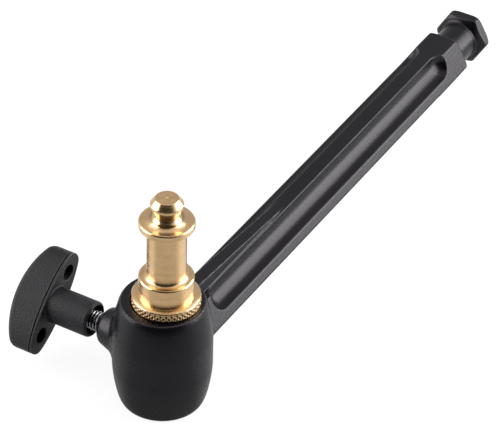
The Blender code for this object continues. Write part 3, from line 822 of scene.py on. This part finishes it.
def moulded_nylon():
    """Glass-filled nylon from a spark-eroded mould: a fine matt texture, with slow dull and shiny patches."""
    material, tree, shader, add = node_tree("moulded_nylon")
    place = add("TexCoord")["Object"]
    grain = noise(add, place, 3400.0, 3.0, 0.65)
    pits = add("TexVoronoi", {"feature": "F1"}, Vector=place, Scale=2700.0)["Distance"]
    patch = noise(add, place, 130.0, 4.0, 0.6)
    worn = add("Attribute", {"attribute_name": "edge_wear"})["Fac"]
    tone = two_tones(add, patch, 0.3, nylon_dull, 0.7, nylon_shiny)
    rub = add("Math", {"operation": "MULTIPLY"}, _0=worn, _1=patch)["Value"]
    colour = add("Mix", {"data_type": "RGBA"}, _0=rub, _6=tone, _7=(*nylon_rubbed, 1.0))[2]
    low = bump(add, pits, 0.7, 0.00014)
    fine = bump(add, grain, 0.6, 0.00008, Normal=low)
    tree.links.new(colour, shader.inputs["Base Color"])
    tree.links.new(span(add, patch, 0.3, 0.7, *nylon_roughness), shader.inputs["Roughness"])
    tree.links.new(fine, shader.inputs["Normal"])
    shader.inputs["Specular IOR Level"].default_value = nylon_gloss
    return material


def make_knob():
    """Skins the knob on an even grid, with closer planes round the seam of the wing's base plate."""
    pitch = knob_pitch
    margin = 3 * pitch
    axes = [np.arange(low - margin, high + margin, pitch) for low, high in zip(knob_low, knob_high)]
    plate = np.arange(wing_underside - seam_planes_below, wing_underside + seam_planes_above,
                      pitch / seam_planes_per_pitch)
    hub_side = axes[1][axes[1] < plate[0] - pitch / 2]
    crown_side = axes[1][axes[1] > plate[-1] + pitch / 2]
    axes[1] = np.concatenate([hub_side, plate, crown_side])
    points, faces, normals = skin(knob_field, axes)
    piece = put_piece("wing_knob", points, faces, normals)
    edge_attribute(piece, knob_field, points, normals)
    piece.data.materials.append(moulded_nylon())
    return piece


knob = make_knob()
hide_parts("clamp_knob")
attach(knob, "knob")


# The studio: a plain pale floor, two large soft boxes beside the object, and a room that the camera
# sees white. Bare metal mirrors it pale at the sides and dark where the photographer stands, as in
# the photograph.
view_azimuth = math.radians(-60.620)
view_elevation = math.radians(37.563)
view_roll = math.radians(1.748)
view_distance = 0.880
view_target = np.array([0.070 + socket_x, 0.011870, -0.002564])
view_back = np.array([math.sin(view_azimuth) * math.cos(view_elevation),
                      -math.cos(view_azimuth) * math.cos(view_elevation), math.sin(view_elevation)])
camera_bearing = math.atan2(view_back[1], view_back[0])
floor_gap = 0.0001
table_front = 0.16
table_depth = 2.0
table_half = 1.6
paper_seen = 0.22
paper_lit = 0.45
paper_mirrored = (0.60, 0.40)
glow_seen = 0.86
glow_mirrored = (0.13, 0.07)
mirrored_from = 0.15
mirrored_to = 0.55
room_turn = math.radians(8.0)
room_back = 0.46
room_sides = 0.85
room_dark = 0.02
room_marks = ((0.14, room_back), (0.34, room_sides), (0.66, room_sides), (0.72, room_dark))
box_distance = 0.80


def by_ray(add, camera, mirror, other):
    """A level for camera rays, one for mirror and glass rays, and one for rays that light the object."""
    path = add("LightPath")
    mirrored = add("Math", {"operation": "MAXIMUM"}, _0=path["Is Glossy Ray"], _1=path["Is Transmission Ray"])
    level = add("Mix", {"data_type": "FLOAT"}, _0=mirrored["Value"], _2=other, _3=mirror)[0]
    return add("Mix", {"data_type": "FLOAT"}, _0=path["Is Camera Ray"], _2=level, _3=camera)[0]


def make_floor():
    """A pale table top under the socket's base: diffuse paper plus a glow, each with a level by ray."""
    front = view_back * [1.0, 1.0, 0.0]
    front /= np.linalg.norm(front)
    side = np.array([-front[1], front[0], 0.0])
    middle = np.array([socket_x, 0.0, casting_low.z - floor_gap])
    places = ((table_front, table_half), (-table_depth, table_half),
              (-table_depth, -table_half), (table_front, -table_half))
    corners = np.array([middle + front * forward + side * aside for forward, aside in places])
    sheet = put_piece("floor_sheet", corners, np.array([[0, 1, 2, 3]]))
    material, tree, shader, add = node_tree("pale_floor")
    tree.nodes.remove(shader)
    place = add("TexCoord")["Object"]
    away = add("VectorMath", {"operation": "SUBTRACT"}, _0=place, _1=tuple(middle))["Vector"]
    bearing = add("VectorMath", {"operation": "NORMALIZE"}, _0=away)["Vector"]
    ahead = add("VectorMath", {"operation": "DOT_PRODUCT"}, _0=bearing, _1=tuple(front))["Value"]
    shade = span(add, ahead, mirrored_from, mirrored_to, *paper_mirrored)
    shine = span(add, ahead, mirrored_from, mirrored_to, *glow_mirrored)
    paper = add("BsdfDiffuse", Color=by_ray(add, paper_seen, shade, paper_lit))["BSDF"]
    strength = by_ray(add, glow_seen, shine, 0.0)
    glow = add("Emission", Color=(1.0, 1.0, 1.0, 1.0), Strength=strength)["Emission"]
    shown = add("AddShader", _0=paper, _1=glow)["Shader"]
    tree.links.new(shown, tree.nodes["Material Output"].inputs["Surface"])
    sheet.data.materials.append(material)


def make_world():
    """A white room for the camera; mirrors see it dimmer, and dark where the photographer stands."""
    world = bpy.data.worlds.new("studio_room")
    world.use_nodes = True
    tree = world.node_tree
    add = node_adder(tree)
    direction = add("TexCoord")["Generated"]
    bearing = camera_bearing - room_turn
    towards = add("VectorMath", {"operation": "DOT_PRODUCT"}, _0=direction,
                  _1=(math.cos(bearing), math.sin(bearing), 0.0))["Value"]
    share = span(add, towards, -1.0, 1.0, 0.0, 1.0)
    room = add("ValToRGB", Fac=share)["Color"]
    ramp = room.node.color_ramp
    for mark, level in room_marks:
        ramp.elements.new(mark).color = (level, level, level, 1.0)
    ramp.elements[0].color = (room_back, room_back, room_back, 1.0)
    ramp.elements[-1].color = (room_dark, room_dark, room_dark, 1.0)
    path = add("LightPath")
    strength = add("Mix", {"data_type": "FLOAT"}, _0=path["Is Camera Ray"], _2=room, _3=1.0)[0]
    background = tree.nodes["Background"]
    background.inputs["Color"].default_value = (1.0, 1.0, 1.0, 1.0)
    tree.links.new(strength, background.inputs["Strength"])
    bpy.context.scene.world = world


def make_soft_box(name, bearing, elevation, width, height, power):
    """An area lamp at a bearing from +X, in radians, turned towards the arm between socket and middle."""
    lamp = bpy.data.lights.new(name, "AREA")
    lamp.shape = "RECTANGLE"
    lamp.size, lamp.size_y, lamp.energy = width, height, power
    holder = bpy.data.objects.new(name, lamp)
    way = np.array([math.cos(bearing) * math.cos(elevation), math.sin(bearing) * math.cos(elevation),
                    math.sin(elevation)])
    side = np.array([-math.sin(bearing), math.cos(bearing), 0.0])
    upward = np.cross(way, side)
    aim = np.array([socket_x * 0.6, 0.0, 0.0])
    for column, axis in enumerate((side, upward, way)):
        for row in range(3):
            holder.matrix_world[row][column] = axis[row]
    holder.location = tuple(aim + way * box_distance)
    bpy.context.scene.collection.objects.link(holder)


make_floor()
make_world()
make_soft_box("soft_box_right", camera_bearing + math.radians(99), math.radians(24), 0.72, 0.68, 8.2)
make_soft_box("soft_box_left", camera_bearing - math.radians(84), math.radians(22), 0.60, 0.70, 4.9)


# The camera: a long lens that looks down along the arm from the knob's side, as in the photograph.
# Its angles, aim and focal length come from a fit to the photograph that takes both the spigot's lands
# and the collar as 16 mm and the bar as hardly tapered, with the distance held at 0.88 m.
focal_pixels = 2867.476
photo_width = 500
sensor_width = 36.0


def make_camera():
    """Places the camera by its bearing, height angle and roll round the point that it looks at."""
    right = np.array([math.cos(view_azimuth), math.sin(view_azimuth), 0.0])
    upward = np.cross(view_back, right)
    turned_right = right * math.cos(view_roll) + upward * math.sin(view_roll)
    turned_up = upward * math.cos(view_roll) - right * math.sin(view_roll)
    eye = view_target + view_back * view_distance
    camera = bpy.data.objects.new("camera", bpy.data.cameras.new("camera"))
    camera.data.sensor_width = sensor_width
    camera.data.lens = focal_pixels * sensor_width / photo_width
    camera.data.clip_start = 0.01
    matrix = camera.matrix_world.copy()
    for row in range(3):
        matrix[row][0], matrix[row][1], matrix[row][2] = turned_right[row], turned_up[row], view_back[row]
        matrix[row][3] = eye[row]
    camera.matrix_world = matrix
    bpy.context.scene.collection.objects.link(camera)
    bpy.context.scene.camera = camera


make_camera()
bpy.context.scene.view_settings.view_transform = "Standard"
